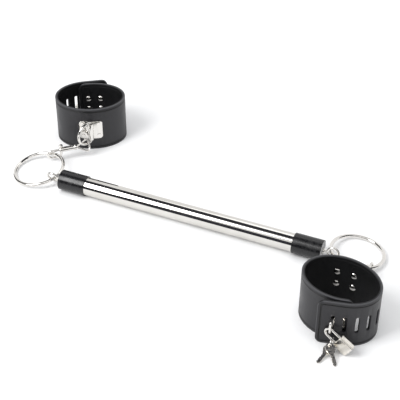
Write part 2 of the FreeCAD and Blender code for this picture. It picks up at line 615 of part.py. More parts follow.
def shackle():
    """Hardened U with one long and one short leg, and the locking notch in the short one."""
    crown_z = SHACKLE_RISE
    bow = Part.Arc(V(-SHACKLE_HALF, 0, crown_z), V(0, 0, crown_z + SHACKLE_HALF), V(SHACKLE_HALF, 0, crown_z))
    legs = [Part.makeLine(V(-SHACKLE_HALF, 0, -SHACKLE_LONG), V(-SHACKLE_HALF, 0, crown_z)),
            Part.makeLine(V(SHACKLE_HALF, 0, crown_z), V(SHACKLE_HALF, 0, -SHACKLE_SHORT))]
    rod = bent_wire(Part.Wire([legs[0], bow.toShape(), legs[1]]), SHACKLE_R)
    notch = Part.makeBox(2 * SHACKLE_NOTCH, 2 * SHACKLE_R, SHACKLE_R,
                         V(SHACKLE_HALF - SHACKLE_R - SHACKLE_NOTCH, -SHACKLE_R, 1 - SHACKLE_SHORT))
    return rod.cut(notch)


def lock_cylinder():
    """Plug with its keyway, in the bottom of the padlock."""
    plug = Part.makeCylinder(CYLINDER_R, CYLINDER_DEPTH - LINK_GAP + CYLINDER_PROUD,
                             V(0, 0, -LOCK_HEIGHT - CYLINDER_PROUD))
    keyway = Part.makeBox(KEYWAY_LENGTH, KEYWAY_WIDTH, KEYWAY_DEPTH + CYLINDER_PROUD,
                          V(-KEYWAY_LENGTH / 2, -KEYWAY_WIDTH / 2, -LOCK_HEIGHT - CYLINDER_PROUD))
    return plug.cut(keyway)


def key_ring():
    return Part.makeTorus(KEY_RING_R, KEY_RING_WIRE_R, V(0, 0, 0), X_AXIS)


def key():
    """Flat key: origin at its hole, blade towards +X, cuts along one edge."""
    low = V(0, 0, -KEY_T / 2)
    bow = Part.makeCylinder(KEY_BOW_R, KEY_T, low + V(KEY_HOLE_BACK, 0, 0))
    waist = Part.makeCylinder(KEY_BOW_WAIST, KEY_T, low + V(KEY_WAIST_X, 0, 0))
    shoulder = KEY_TIP - KEY_BLADE_HALF
    outline = [V(KEY_WAIST_X, -KEY_BLADE_HALF, 0)]
    pitch = (shoulder - KEY_WAIST_X - KEY_BOW_WAIST) / KEY_CUTS
    for i in range(KEY_CUTS):
        start = KEY_WAIST_X + KEY_BOW_WAIST + pitch * i
        depth = KEY_CUT_DEPTH * (1.0 if i % 2 else 0.6)
        outline.append(V(start, -KEY_BLADE_HALF, 0))
        outline.append(V(start + pitch / 2, depth - KEY_BLADE_HALF, 0))
    outline += [V(shoulder, -KEY_BLADE_HALF, 0), V(KEY_TIP, 0, 0), V(shoulder, KEY_BLADE_HALF, 0),
                V(KEY_WAIST_X, KEY_BLADE_HALF, 0)]
    blade = Part.Face(Part.makePolygon(outline + outline[:1])).extrude(V(0, 0, KEY_T))
    blade.translate(low)
    hole = Part.makeCylinder(KEY_HOLE_R, 2 * KEY_T, 2 * low)
    return bow.multiFuse([waist, blade]).removeSplitter().cut(hole)


# ---- where each link lies ------------------------------------------------------------------
class Chain:
    """The placement of every link of one side, worked out from the bar outwards."""

    def __init__(self, lay, cuff):
        self.bar_end = Placement(V(lay.out * BAR_LENGTH / 2, 0, BAR_AXIS_Z),
                                 Rotation(Z_AXIS, 90 - 90 * lay.out))
        self.eye = self.bar_end.multVec(V(EYE_REACH, 0, 0)) + V(lay.ring_shift, 0, -lay.ring_drop)
        self.place_ring(lay)
        self.place_snap(lay)
        self.place_d_ring(lay)
        self.place_cuff(lay, cuff)

    def place_ring(self, lay):
        """The ring rests on the surface at its lowest point and on the eye where it passes through."""
        lift = (self.eye.z - RING_WIRE_R - FLOOR_GAP) / RING_R
        tilt = math.degrees(math.asin(lift / (1 + math.cos(math.radians(lay.eye_angle)))))
        rotation = Rotation(Z_AXIS, lay.ring_high).multiply(Rotation(Y_AXIS, -tilt))
        self.ring = Placement(self.eye - rotation.multVec(self.on_ring(lay.eye_angle)), rotation)
        self.ring_axis = rotation.multVec(self.ring_tangent(lay.eye_angle))
        self.crossing = self.ring.multVec(self.on_ring(lay.hook_angle))
        self.crossing_axis = rotation.multVec(self.ring_tangent(lay.hook_angle))

    def on_ring(self, degrees):
        return V(RING_R * math.cos(math.radians(degrees)), RING_R * math.sin(math.radians(degrees)), 0)

    def ring_tangent(self, degrees):
        return V(-math.sin(math.radians(degrees)), math.cos(math.radians(degrees)), 0)

    def place_snap(self, lay):
        """The snap hangs between the ring's wire and the bow of the upright D-ring."""
        self.bow_angle = math.asin(lay.bow_link / D_HALF)
        hang = CUFF_HEIGHT / 2 - D_HALF * math.cos(self.bow_angle)
        lift = RING_BELOW_BOLT + lay.bail_lift * math.cos(math.radians(lay.bail_roll))
        pitch = angle_for(lift, -(BAIL_FAR - lay.bail_bite), hang - self.crossing.z)
        rotation = Rotation(Z_AXIS, lay.snap_heading).multiply(Rotation(Y_AXIS, pitch))
        self.snap = Placement(self.crossing + rotation.multVec(V(0, 0, RING_BELOW_BOLT)), rotation)
        self.bail = self.snap.multiply(turn(X_AXIS, lay.bail_roll))
        self.link = self.bail.multVec(V(BAIL_FAR - lay.bail_bite, 0, lay.bail_lift))

    def place_d_ring(self, lay):
        rotation = Rotation(Z_AXIS, lay.d_heading)
        spot = V(D_STRAIGHT + lay.bow_link, 0, -D_HALF * math.cos(self.bow_angle))
        self.d_ring = Placement(self.link - rotation.multVec(spot), rotation)
        self.link_axis = rotation.multVec(V(math.cos(self.bow_angle), 0, math.sin(self.bow_angle)))

    def place_cuff(self, lay, cuff):
        rotation = Rotation(Z_AXIS, lay.cuff_heading)
        bar = self.d_ring.Base
        self.cuff = Placement(bar - rotation.multVec(cuff.d_bar().Base), rotation)
        lock, crown = cuff.lock_frame()
        self.lock = self.cuff.multiply(lock)
        self.crown = self.cuff.multVec(crown)
        self.place_keys()

    def place_keys(self):
        """The key ring hangs on the padlock's lower leg; the keys lie from it to the surface."""
        leg = self.lock.multVec(V(-SHACKLE_HALF, 0, KEY_RING_ON_LEG))
        across = self.lock.Rotation.multVec(X_AXIS)
        heading = math.degrees(math.atan2(across.y, across.x))
        rotation = Rotation(Z_AXIS, heading + KEY_RING_HEADING).multiply(Rotation(X_AXIS, KEY_RING_TILT))
        hang = leg + V(0, 0, KEY_RING_HANG)
        self.key_ring = Placement(hang - rotation.multVec(V(0, 0, KEY_RING_R)), rotation)
        self.keys = []
        for tilt, key_heading in zip(KEY_TILTS, KEY_HEADINGS):
            angle = math.radians(tilt)
            hole = self.key_ring.multVec(V(0, -KEY_RING_R * math.sin(angle), -KEY_RING_R * math.cos(angle)))
            lie = Rotation(Z_AXIS, heading + key_heading)
            pitch = math.degrees(math.asin((hole.z - KEY_T / 2 - FLOOR_GAP) / KEY_TIP))
            self.keys.append(Placement(hole, lie.multiply(Rotation(Y_AXIS, pitch))))


# ---- assembly -------------------------------------------------------------------------------
def side_nodes(lay):
    """Every node of one side, as a dictionary of name to list of solids."""
    cuff = Cuff(lay)
    chain = Chain(lay, cuff)
    local = {
        "end_plug": (end_plug(), chain.bar_end), "end_sleeve": (end_sleeve(), chain.bar_end),
        "eye_bolt": (eye_bolt(), chain.bar_end), "lock_nut": (lock_nut(), chain.bar_end),
        "o_ring": (o_ring(), chain.ring),
        "hook_body": (hook_body(), chain.snap), "hook_bolt": (hook_bolt(), chain.snap),
        "bolt_spring": (bolt_spring(), chain.snap), "swivel_bail": (swivel_bail(), chain.bail),
        "d_ring": (d_ring(), chain.d_ring),
        "cuff_leather": (cuff.ply(PLY_FACE, OUTER_FACE), chain.cuff),
        "cuff_lining": (cuff.ply(INNER_FACE, PLY_FACE), chain.cuff),
        "d_plate": (cuff.d_plate(), chain.cuff), "lock_staple": (cuff.staple(), chain.cuff),
        "lock_body": (lock_body(), chain.lock), "shackle": (shackle(), chain.lock),
        "lock_cylinder": (lock_cylinder(), chain.lock), "key_ring": (key_ring(), chain.key_ring),
        "key_a": (key(), chain.keys[0]), "key_b": (key(), chain.keys[1]),
    }
    nodes = {f"{name}_{lay.side}": [placed(shape, place)] for name, (shape, place) in local.items()}
    groups = {"d_plate_rivets": (cuff.d_mark, D_RIVET_X, D_RIVET_Z, D_PLATE_T),
              "staple_rivets": (cuff.staple_mark, STAPLE_RIVET_X, STAPLE_RIVET_Z, STAPLE_PLATE_T)}
    for name, (mark, width, height, plate_t) in groups.items():
        rivets = cuff.at_rivets(rivet(plate_t), mark, width, height)
        nodes[f"{name}_{lay.side}"] = [placed(shape, chain.cuff) for shape in rivets]
    return nodes


def all_nodes():
    nodes = {"bar_tube": [bar_tube()]}
    for lay in LAYS:
        nodes.update(side_nodes(lay))
    return nodes


def to_origin(nodes):
    """The placement that brings the middle of the nodes' bounding box over the origin."""
    box = FreeCAD.BoundBox()
    for solids in nodes.values():
        for solid in solids:
            for point in solid.tessellate(MESH_STEP)[0]:
                box.add(point)
    return Placement(V(-box.Center.x, -box.Center.y, 0), Rotation())


def main():
    os.makedirs("parts", exist_ok=True)
    nodes = all_nodes()
    move = to_origin(nodes)
    for name, solids in nodes.items():
        moved = [placed(solid, move) for solid in solids]
        shape = moved[0] if len(moved) == 1 else Part.makeCompound(moved)
        if not shape.isValid():
            print("not valid:", name)
        shape.exportStep(f"parts/{name}.step")
        print(f"{name}: {len(shape.Solids)} solids, {shape.Volume:.1f} mm3")


if __name__ == "__main__":
    main()
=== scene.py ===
"""Two padlocked leather wrist cuffs, linked by snap hooks and O-rings to a chrome plated spreader bar."""
import bisect
import json
import logging
import math
from dataclasses import dataclass
from enum import Enum
from functools import cached_property
from typing import Callable, Iterable

import bmesh
import bpy
from mathutils import Matrix, Vector

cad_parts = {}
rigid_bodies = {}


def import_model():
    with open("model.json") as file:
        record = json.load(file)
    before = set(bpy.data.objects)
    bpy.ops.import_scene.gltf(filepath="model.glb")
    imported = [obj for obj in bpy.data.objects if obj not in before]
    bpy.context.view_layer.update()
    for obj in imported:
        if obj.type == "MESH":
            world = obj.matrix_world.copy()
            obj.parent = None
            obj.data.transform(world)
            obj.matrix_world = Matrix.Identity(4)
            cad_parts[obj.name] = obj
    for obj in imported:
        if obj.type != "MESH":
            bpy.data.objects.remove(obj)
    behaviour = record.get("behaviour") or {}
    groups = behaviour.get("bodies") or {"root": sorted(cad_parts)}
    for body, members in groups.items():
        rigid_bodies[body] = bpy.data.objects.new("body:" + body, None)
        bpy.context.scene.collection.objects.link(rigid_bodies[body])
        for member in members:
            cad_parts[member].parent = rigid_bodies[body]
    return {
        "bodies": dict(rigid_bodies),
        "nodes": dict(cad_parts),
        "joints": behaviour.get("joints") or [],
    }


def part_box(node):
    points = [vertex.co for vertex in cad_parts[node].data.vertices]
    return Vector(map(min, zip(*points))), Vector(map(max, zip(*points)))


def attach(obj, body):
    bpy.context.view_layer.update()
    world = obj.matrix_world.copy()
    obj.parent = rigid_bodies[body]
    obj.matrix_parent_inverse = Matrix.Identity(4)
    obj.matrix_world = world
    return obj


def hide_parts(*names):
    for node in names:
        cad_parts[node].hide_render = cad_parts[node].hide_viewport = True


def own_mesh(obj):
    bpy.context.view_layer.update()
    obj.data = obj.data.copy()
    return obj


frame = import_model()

LOG = logging.getLogger("wrist_cuffs")
MM = 0.001
SHARP_EDGE = math.radians(60)  # edges that turn by more than this are rounded
SMOOTH_ANGLE = 40.0  # in degrees, up to which faces are shaded as one surface
Slots = tuple[tuple[str, str], ...]  # CAD nodes, without their side, and their material slots
Colour = tuple[float, float, float]


class Side(Enum):
    """The two ends of the bar; the value is the ending of that side's node and body names."""

    LEFT = "left"
    RIGHT = "right"


class Face(Enum):
    """Which side of the strap a ply shows."""

    OUTSIDE = -1.0
    INSIDE = 1.0


# ---- bench work ---------------------------------------------------------------------------------
class Bench:
    """Small steps that every new piece goes through."""

    @staticmethod
    def clear() -> None:
        """Deselects every object, in object mode."""
        if bpy.context.object and bpy.context.object.mode != "OBJECT":
            bpy.ops.object.mode_set(mode="OBJECT")
        bpy.ops.object.select_all(action="DESELECT")

    @staticmethod
    def take(obj: bpy.types.Object) -> None:
        """Makes an object the only selected one, and the active one."""
        Bench.clear()
        obj.select_set(True)
        bpy.context.view_layer.objects.active = obj

    @staticmethod
    def started(name: str) -> bpy.types.Object:
        """Names the primitive that was just added and opens it, selected all over, in edit mode."""
        obj = bpy.context.object
        obj.name = name
        obj.data.name = name
        bpy.ops.object.mode_set(mode="EDIT")
        bpy.ops.mesh.select_all(action="SELECT")
        return obj

    @staticmethod
    def pick(obj: bpy.types.Object, mode: str, test: Callable[[bmesh.types.BMFace], bool]) -> None:
        """Selects the faces, edges or vertices that pass a test.

        Args:
            obj: The object in edit mode.
            mode: FACE, EDGE or VERT.
            test: Says of one face, edge or vertex whether it is wanted.
        """
        bpy.ops.mesh.select_mode(type=mode)
        bpy.ops.mesh.select_all(action="DESELECT")
        mesh = bmesh.from_edit_mesh(obj.data)
        mesh.normal_update()
        parts = {"FACE": mesh.faces, "EDGE": mesh.edges, "VERT": mesh.verts}[mode]
        for part in [part for part in parts if test(part)]:
            part.select_set(True)
        mesh.select_flush_mode()
        bmesh.update_edit_mesh(obj.data)

    @staticmethod
    def modify(obj: bpy.types.Object, kind: str, **settings: object) -> None:
        """Adds a modifier with the given settings and applies it."""
        Bench.take(obj)
        modifier = obj.modifiers.new(kind.title(), kind)
        for key, value in settings.items():
            setattr(modifier, key, value)
        bpy.ops.object.modifier_apply(modifier=modifier.name)

    @staticmethod
    def round_edges(obj: bpy.types.Object, width: float, segments: int) -> None:
        """Rounds every sharp edge."""
        Bench.modify(obj, "BEVEL", width=width, segments=segments, limit_method="ANGLE",
                     angle_limit=SHARP_EDGE)

    @staticmethod
    def cut(obj: bpy.types.Object, tool: bpy.types.Object) -> None:
        """Cuts one object out of another, and removes the tool."""
        Bench.modify(obj, "BOOLEAN", operation="DIFFERENCE", solver="EXACT", object=tool)
        bpy.data.objects.remove(tool)

    @staticmethod
    def settle() -> None:
        """Moves the active object's place, turn and size into its mesh."""
        bpy.ops.object.transform_apply(location=True, rotation=True, scale=True)

    @staticmethod
    def join(pieces: list[bpy.types.Object]) -> bpy.types.Object:
        """Joins several objects into the first and returns it."""
        Bench.take(pieces[0])
        for piece in pieces:
            piece.select_set(True)
        bpy.ops.object.join()
        return pieces[0]

    @staticmethod
    def smooth(obj: bpy.types.Object, degrees: float = SMOOTH_ANGLE) -> None:
        """Shades an object smooth, with edges kept sharp above an angle."""
        Bench.take(obj)
        bpy.ops.object.shade_smooth_by_angle(angle=math.radians(degrees))


# ---- finishes ------------------------------------------------------------------------------------
class FinishSheet:
    """One material under construction, with short ways to add and link its nodes."""

    def __init__(self, name: str, colour: Colour, metallic: float, roughness: float) -> None:
        """Starts a material from one Principled shader.

        Args:
            name: The material's name.
            colour: Base colour, linear, used until something is linked to it.
            metallic: 0 for leather and plastic, 1 for metal.
            roughness: Roughness, used until something is linked to it.
        """
        self.material = bpy.data.materials.new(name)
        self.material.use_nodes = True
        self.tree = self.material.node_tree
        self.shader = self.tree.nodes["Principled BSDF"]
        self.shader.inputs["Base Color"].default_value = (*colour, 1.0)
        self.shader.inputs["Metallic"].default_value = metallic
        self.shader.inputs["Roughness"].default_value = roughness
        self.coordinates = self.add("ShaderNodeTexCoord")
        self.material.diffuse_color = (*colour, 1.0)

    def add(self, kind: str, inputs: dict[str | int, object] | None = None,
            **settings: object) -> bpy.types.Node:
        """Adds a node, sets its own settings and its unlinked inputs, and returns it."""
        node = self.tree.nodes.new(kind)
        for key, value in settings.items():
            setattr(node, key, value)
        for key, value in (inputs or {}).items():
            node.inputs[key].default_value = value
        return node

    def link(self, source: bpy.types.NodeSocket, target: bpy.types.NodeSocket) -> None:
        """Joins an output to an input."""
        self.tree.links.new(source, target)

    def noise(self, scale: float, detail: float = 3.0, stretch: tuple[float, float, float] | None = None,
              ) -> bpy.types.NodeSocket:
        """Noise on object coordinates.

        Args:
            scale: Waves per metre, roughly.
            detail: Number of octaves.
            stretch: Scale along X, Y and Z, for brushed or drawn surfaces.

        Returns:
            The noise's value output, about 0.5 on average.
        """
        where = self.coordinates.outputs["Object"]
        if stretch:
            mapping = self.add("ShaderNodeMapping", {"Scale": stretch})
            self.link(where, mapping.inputs["Vector"])
            where = mapping.outputs["Vector"]
        node = self.add("ShaderNodeTexNoise", {"Scale": scale, "Detail": detail, "Roughness": 0.55})
        self.link(where, node.inputs["Vector"])
        return node.outputs["Fac"]

    def spread(self, value: bpy.types.NodeSocket, low: float, high: float, start: float = 0.35,
               stop: float = 0.65) -> bpy.types.NodeSocket:
        """Maps a value from start..stop to low..high, and holds it there."""
        limits = {"From Min": start, "From Max": stop, "To Min": low, "To Max": high}
        node = self.add("ShaderNodeMapRange", limits)
        self.link(value, node.inputs["Value"])
        return node.outputs["Result"]

    def blend(self, factor: bpy.types.NodeSocket, first: Colour, second: Colour) -> bpy.types.NodeSocket:
        """A colour between two, by a factor."""
        node = self.add("ShaderNodeMix", data_type="RGBA")
        node.inputs["A"].default_value = (*first, 1.0)
        node.inputs["B"].default_value = (*second, 1.0)
        self.link(factor, node.inputs["Factor"])
        return node.outputs["Result"]

    def over(self, factor: bpy.types.NodeSocket, below: bpy.types.NodeSocket,
             top: Colour) -> bpy.types.NodeSocket:
        """A colour laid over another by a factor."""
        node = self.add("ShaderNodeMix", data_type="RGBA")
        node.inputs["B"].default_value = (*top, 1.0)
        self.link(factor, node.inputs["Factor"])
        self.link(below, node.inputs["A"])
        return node.outputs["Result"]

    def bump(self, height: bpy.types.NodeSocket, depth: float, below: bpy.types.NodeSocket | None = None,
             ) -> bpy.types.NodeSocket:
        """Raises the surface by a height map, depth in metres, on top of an earlier bump."""
        node = self.add("ShaderNodeBump", {"Strength": 1.0, "Distance": depth})
        self.link(height, node.inputs["Height"])
        if below:
            self.link(below, node.inputs["Normal"])
        return node.outputs["Normal"]

    def finish(self, **sockets: bpy.types.NodeSocket) -> bpy.types.Material:
        """Links outputs to the shader's inputs, named with underscores for spaces."""
        for name, socket in sockets.items():
            self.link(socket, self.shader.inputs[name.replace("_", " ")])
        return self.material


@dataclass(frozen=True)
class PlatedFinish:
    """Plated steel, from mirror chrome to dull nickel, with handling marks and a faint ripple."""

    name: str
    colour: Colour
    tint: Colour
    gloss: float
    wear: float
    ripple: float = 0.004 * MM
    cloud_scale: float = 45.0
    mark_scale: float = 420.0
    ripple_scale: float = 900.0

    def material(self) -> bpy.types.Material:
        """The finish as a material."""
        sheet = FinishSheet(self.name, self.colour, 1.0, self.gloss)
        clouds = sheet.noise(self.cloud_scale, 4.0)
        marks = sheet.noise(self.mark_scale, 5.0)
        colour = sheet.blend(sheet.spread(clouds, 0.0, 1.0), self.colour, self.tint)
        roughness = sheet.spread(marks, self.gloss, self.gloss + self.wear, 0.45, 0.75)
        normal = sheet.bump(sheet.noise(self.ripple_scale, 2.0), self.ripple)
        return sheet.finish(Base_Color=colour, Roughness=roughness, Normal=normal)


@dataclass(frozen=True)
class BrushedFinish:
    """Nickel brushed one way, as on a small padlock's case and its keys."""

    name: str
    colour: Colour
    tint: Colour
    roughness: float
    grain: tuple[float, float, float]
    groove: float = 0.02 * MM
    patch_scale: float = 160.0

    def material(self) -> bpy.types.Material:
        """The finish as a material."""
        sheet = FinishSheet(self.name, self.colour, 1.0, self.roughness)
        lines = sheet.noise(1.0, 3.0, self.grain)
        patches = sheet.noise(self.patch_scale, 3.0)
        colour = sheet.blend(sheet.spread(patches, 0.0, 1.0), self.colour, self.tint)
        roughness = sheet.spread(lines, self.roughness - 0.06, self.roughness + 0.10)
        normal = sheet.bump(lines, self.groove)
        return sheet.finish(Base_Color=colour, Roughness=roughness, Normal=normal)


@dataclass(frozen=True)
class MouldedFinish:
    """Moulded or painted parts: the rubbery black sleeves and the grey end plugs."""

    name: str
    colour: Colour
    scuff: Colour
    roughness: float
    peel: float
    gloss: float
    scuff_scale: float = 260.0
    peel_scale: float = 1400.0

    def material(self) -> bpy.types.Material:
        """The finish as a material."""
        sheet = FinishSheet(self.name, self.colour, 0.0, self.roughness)
        sheet.shader.inputs["Specular IOR Level"].default_value = self.gloss
        scuffs = sheet.noise(self.scuff_scale, 6.0)
        colour = sheet.blend(sheet.spread(scuffs, 0.0, 1.0, 0.5, 0.8), self.colour, self.scuff)
        roughness = sheet.spread(scuffs, self.roughness - 0.05, self.roughness + 0.15)
        normal = sheet.bump(sheet.noise(self.peel_scale, 2.0), self.peel)
        return sheet.finish(Base_Color=colour, Roughness=roughness, Normal=normal)


@dataclass(frozen=True)
class LeatherFinish:
    """Dyed leather: pebbled grain, uneven dye, burnished edges and a painted shade along the crease line,
    read from the strap's flat pattern.
    """

    name: str
    dye: Colour
    worn: Colour
    edge: Colour
    roughness: float
    gloss: float
    grain: float
    grain_depth: float
    height: float
    # The band of painted shade along the crease line: its distance in from the edge and its half width; the
    # two below set its dark core and how dark it is.
    painted_shade_band: tuple[float, float] | None = None
    painted_shade_core: float = 0.45
    crease_shade: float = 0.05
    edge_fade: tuple[float, float] = (0.2 * MM, 0.9 * MM)
    wear_scale: float = 55.0
    wave_scale: float = 140.0
    wave_depth: float = 0.12 * MM
    pore_scale: float = 6500.0
    pore_depth: float = 0.012 * MM

    def material(self) -> bpy.types.Material:
        """The finish as a material."""
        sheet = FinishSheet(self.name, self.dye, 0.0, self.roughness)
        sheet.shader.inputs["Specular IOR Level"].default_value = self.gloss
        rubbed = sheet.noise(self.wear_scale, 5.0)
        colour = sheet.blend(sheet.spread(rubbed, 0.0, 1.0), self.dye, self.worn)
        inset = self.inset(sheet)
        colour = sheet.over(sheet.spread(inset, 1.0, 0.0, *self.edge_fade), colour, self.edge)
        # Painted shade: the dye is darkened almost to black in a band along the crease line, where the
        # groove's shadow falls.
        if self.painted_shade_band:
            middle, half = self.painted_shade_band
            away = sheet.add("ShaderNodeMath", {1: middle}, operation="SUBTRACT")
            sheet.link(inset, away.inputs[0])
            size = sheet.add("ShaderNodeMath", operation="ABSOLUTE")
            sheet.link(away.outputs["Value"], size.inputs[0])
            line = sheet.spread(size.outputs["Value"], 1.0, 0.0, half * self.painted_shade_core, half)
            colour = sheet.over(line, colour, tuple(part * self.crease_shade for part in self.dye))
        pebbles = sheet.add("ShaderNodeTexVoronoi", {"Scale": self.grain, "Randomness": 1.0},
                            feature="SMOOTH_F1")
        sheet.link(sheet.coordinates.outputs["Object"], pebbles.inputs["Vector"])
        roughness = sheet.spread(rubbed, self.roughness - 0.05, self.roughness + 0.08)
        normal = sheet.bump(sheet.noise(self.wave_scale, 3.0), self.wave_depth)
        normal = sheet.bump(pebbles.outputs["Distance"], self.grain_depth, normal)
        normal = sheet.bump(sheet.noise(self.pore_scale, 2.0), self.pore_depth, normal)
        return sheet.finish(Base_Color=colour, Roughness=roughness, Normal=normal)

    def inset(self, sheet: FinishSheet) -> bpy.types.NodeSocket:
        """The distance in from the strap's nearest edge or its outer end, in metres."""
        pattern = sheet.add("ShaderNodeUVMap", uv_map="Strap")
        parts = sheet.add("ShaderNodeSeparateXYZ")
        sheet.link(pattern.outputs["UV"], parts.inputs["Vector"])
        below = sheet.add("ShaderNodeMath", {0: self.height}, operation="SUBTRACT")
        sheet.link(parts.outputs["Y"], below.inputs[1])
        nearest = sheet.add("ShaderNodeMath", operation="MINIMUM")
        sheet.link(parts.outputs["Y"], nearest.inputs[0])
        sheet.link(below.outputs["Value"], nearest.inputs[1])
        ends = sheet.add("ShaderNodeMath", operation="MINIMUM")
        sheet.link(nearest.outputs["Value"], ends.inputs[0])
        sheet.link(parts.outputs["X"], ends.inputs[1])
        return ends.outputs["Value"]


class Finishes:
    """Every finish of the set, by the record's material slot."""

    def __init__(self, strap_height: float) -> None:
        """Makes the materials; strap_height is the cuffs' height in metres."""
        makers = {
            "polished_chrome": PlatedFinish("Polished_chrome", (0.71, 0.695, 0.665), (0.66, 0.645, 0.61),
                                            0.03, 0.04, 0.0012 * MM),
            "nickel": PlatedFinish("Bright_nickel", (0.80, 0.78, 0.75), (0.72, 0.70, 0.67), 0.06, 0.10),
            "spring_steel": PlatedFinish("Spring_steel", (0.45, 0.45, 0.46), (0.38, 0.38, 0.40), 0.25, 0.15),
            "brushed_nickel": BrushedFinish("Brushed_nickel", (0.88, 0.85, 0.79), (0.80, 0.77, 0.71), 0.17,
                                            (900.0, 900.0, 900.0)),
            "black_sleeve": MouldedFinish("Black_sleeve", (0.006, 0.006, 0.007), (0.014, 0.014, 0.016), 0.22,
                                          0.003 * MM, 0.5),
            "plug_grey": MouldedFinish("Plug_grey", (0.42, 0.42, 0.43), (0.30, 0.30, 0.31), 0.42,
                                       0.008 * MM, 0.3),
            # The last pair is the band of painted shade along the crease line.
            "leather_outer": LeatherFinish("Leather_outer", (0.0130, 0.0125, 0.0152), (0.0195, 0.019, 0.022),
                                           (0.055, 0.055, 0.060), 0.40, 0.42, 1150.0, 0.05 * MM, strap_height,
                                           (3.3 * MM, 1.3 * MM)),
            "leather_lining": LeatherFinish("Leather_lining", (0.0035, 0.0035, 0.004),
                                            (0.007, 0.007, 0.008), (0.026, 0.026, 0.028), 0.60, 0.25,
                                            800.0, 0.04 * MM, strap_height),
        }
        self.made = {slot: maker.material() for slot, maker in makers.items()}

    def dress_side(self, side: Side, slots: Slots) -> None:
        """Dresses one side's CAD nodes, each in its own slot."""
        for node, slot in slots:
            self.dress(f"{node}_{side.value}", slot)

    def dress(self, node: str, slot: str) -> None:
        """Gives a CAD node one of the finishes, in all its material slots."""
        obj = frame["nodes"][node]
        for place in obj.material_slots:
            place.material = self.made[slot]
        LOG.info("dressed %s in %s", node, slot)

    def give(self, piece: bpy.types.Object, slot: str) -> None:
        """Gives a new piece one of the finishes."""
        piece.data.materials.clear()
        piece.data.materials.append(self.made[slot])


# ---- where things are -----------------------------------------------------------------------------
def joint_record(name: str) -> dict[str, object]:
    """A joint's row in the record."""
    return next(joint for joint in frame["joints"] if joint["name"] == name)


def joint_place(name: str) -> Vector:
    """A joint's place at rest, in metres."""
    return Vector(joint_record(name)["pos_m"])


def box_middle(node: str) -> Vector:
    """The middle of a CAD node's box."""
    low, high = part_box(node)
    return (Vector(low) + Vector(high)) / 2


# ---- cuffs -----------------------------------------------------------------------------------------
@dataclass(frozen=True)
class StrapLine:
    """Middle line of a wrapped strap from above: a straight flap, then an oval turn that tucks inside it.

    Lengths are in metres and angles in degrees. X runs along the oval's long axis.
    """

    oval_long: float
    oval_short: float
    leave: float
    flap: float = 26.1 * MM
    turn: int = 374
    tuck_start: int = 235
    tuck: float = 5.1 * MM
    search_step: float = 0.25 * MM
    slope_step: float = 0.5 * MM

    @cached_property
    def points(self) -> list[Vector]:
        """Points on the line, about a degree apart after the flap."""
        root = math.radians(self.leave)
        start = Vector((self.oval_long * math.cos(root), self.oval_short * math.sin(root)))
        along = Vector((-self.oval_long * math.sin(root), self.oval_short * math.cos(root))).normalized()
        points = [start - along * self.flap]
        for degrees in range(self.turn + 1):
            angle = math.radians(self.leave + degrees)
            part = min(max((degrees - self.tuck_start) / (self.turn - self.tuck_start), 0.0), 1.0)
            inset = self.tuck * part * part * (3 - 2 * part)
            points.append(Vector(((self.oval_long - inset) * math.cos(angle),
                                  (self.oval_short - inset) * math.sin(angle))))
        return points

    @cached_property
    def marks(self) -> list[float]:
        """The distance of each point along the strap from the flap's end."""
        marks = [0.0]
        for before, after in zip(self.points, self.points[1:]):
            marks.append(marks[-1] + (after - before).length)
        return marks

    @property
    def length(self) -> float:
        """The strap's whole length."""
        return self.marks[-1]

    def point(self, mark: float) -> Vector:
        """The point at a distance along the strap."""
        i = min(max(bisect.bisect_right(self.marks, mark) - 1, 0), len(self.marks) - 2)
        share = (mark - self.marks[i]) / (self.marks[i + 1] - self.marks[i])
        return self.points[i].lerp(self.points[i + 1], share)

    def along(self, mark: float) -> Vector:
        """The strap's direction at a distance along it."""
        ahead, behind = min(mark + self.slope_step, self.length), max(mark - self.slope_step, 0.0)
        return (self.point(ahead) - self.point(behind)).normalized()

    def place(self, mark: float, inward: float, height: float) -> Vector:
        """The point at a distance along the strap, a distance inside its middle line and a height."""
        point, along = self.point(mark), self.along(mark)
        return Vector((point.x - along.y * inward, point.y + along.x * inward, height))

    def facing(self, target: Vector, first: float, last: float) -> float:
        """The distance along the strap, between two others, whose inward line passes a point."""
        count = round((last - first) / self.search_step)
        marks = [first + (last - first) * i / count for i in range(count)]
        return min(marks, key=lambda mark: abs((target - self.point(mark)).dot(self.along(mark))))


@dataclass(frozen=True)
class Ply:
    """One layer of the strap, between two distances inside its middle line."""

    name: str
    node: str
    slot: str
    outside: float
    inside: float
    face: Face

    @property
    def thickness(self) -> float:
        """The layer's thickness."""
        return self.inside - self.outside


